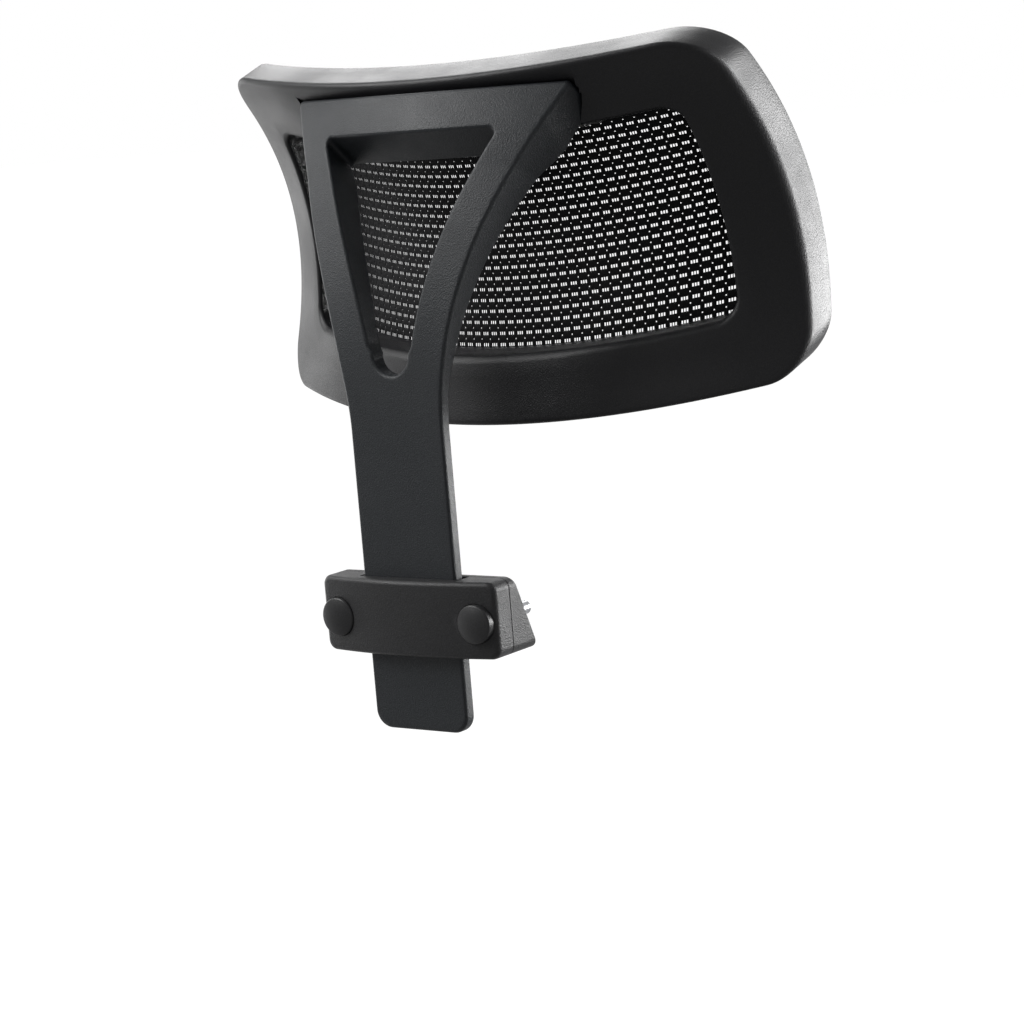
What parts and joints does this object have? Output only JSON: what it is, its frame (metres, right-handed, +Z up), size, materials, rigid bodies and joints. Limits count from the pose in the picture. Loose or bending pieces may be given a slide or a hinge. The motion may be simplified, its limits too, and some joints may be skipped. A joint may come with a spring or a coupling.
{
  "type": "chair headrest attachment",
  "caption": "Saddle-shaped mesh headrest on a Y-shaped bracket that slides for height in a wedge clamp for a chair's top rail, with a tilting hinge at the bracket's tips.",
  "frame": {"origin": "on the clamp's seat face, on the centre plane, at the height of the two clamp screws", "axes": "+Z up along the stem's slide, +Y forward towards the sitter's head and along the clamp screws, +X to the right seen from behind the chair"},
  "size_m": [0.2876, 0.1384, 0.2918],
  "materials": {
    "bracket_plastic": "fine grained, satin",
    "frame_plastic": "fine grained, satin",
    "cap_plastic": "smooth, satin",
    "slide_plastic": "natural acetal",
    "spline_plastic": "extruded edging strip",
    "steel": "zinc plated",
    "spring_steel": "spring steel",
    "mesh_fabric": "black open knitted mesh"
  },
  "bodies": {
    "clamp": {"clamp_cover": "bracket_plastic", "clamp_base": "bracket_plastic", "clamp_screw_left": "steel", "clamp_screw_right": "steel", "clamp_washers": "steel", "cap_left": "cap_plastic", "cap_right": "cap_plastic", "stem_guide_left": "slide_plastic", "stem_guide_right": "slide_plastic", "leaf_spring": "spring_steel", "spring_screws": "steel", "pressure_pad": "slide_plastic", "stop_pin": "steel"},
    "bracket": {"y_bracket": "bracket_plastic", "pivot_pin_left": "steel", "pivot_pin_right": "steel", "friction_washer_left": "spring_steel", "friction_washer_right": "spring_steel"},
    "headrest": {"headrest_frame": "frame_plastic", "mesh_carrier": "frame_plastic", "mesh_panel": "mesh_fabric", "mesh_spline": "spline_plastic", "pivot_bush_left": "slide_plastic", "pivot_bush_right": "slide_plastic"}
  },
  "joints": [
    {"name": "height_slide", "type": "slide", "parent": "clamp", "child": "bracket", "axis": [0, 0, 1], "range_m": [-0.03, 0.02]},
    {"name": "head_tilt", "type": "hinge", "parent": "bracket", "child": "headrest", "pos_m": [0, 0.0423, 0.2077], "axis": [1, 0, 0], "range_deg": [-15, 0]}
  ]
}
